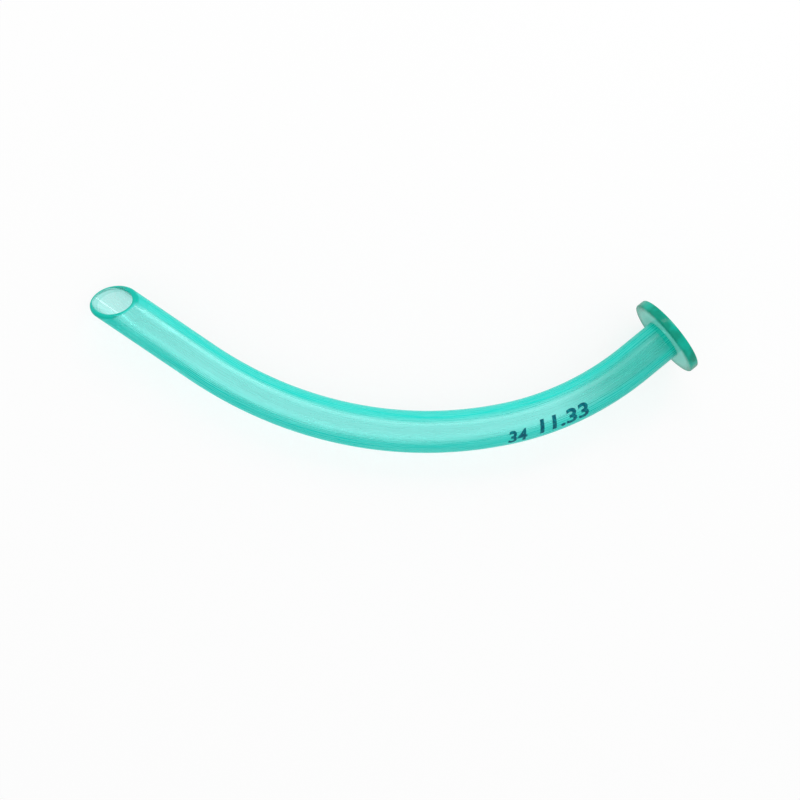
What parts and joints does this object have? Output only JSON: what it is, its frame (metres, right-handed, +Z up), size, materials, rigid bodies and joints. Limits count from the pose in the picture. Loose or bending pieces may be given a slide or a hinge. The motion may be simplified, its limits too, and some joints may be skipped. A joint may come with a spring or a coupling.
{
  "type": "nasopharyngeal airway",
  "caption": "Soft curved breathing tube for the nose, with an open bevelled tip with rounded edges and a round flange that stops it at the nostril.",
  "frame": {"origin": "centre of the bottom of the bounding box, on the surface that the airway lies on", "axes": "+X along the straight lead at the tip, from the bevel into the tube, +Y to the inside of the bend, +Z up; the airway lies on its side with its bevel up"},
  "size_m": [0.145, 0.0868, 0.0231],
  "materials": {
    "tube_plastic": "soft translucent tinted plastic, glossy, with fine lengthwise extrusion lines",
    "flange_plastic": "moulded translucent tinted plastic, darker for its thickness"
  },
  "bodies": {
    "root": {"airway_tube": "tube_plastic", "flange": "flange_plastic"}
  },
  "joints": []
}
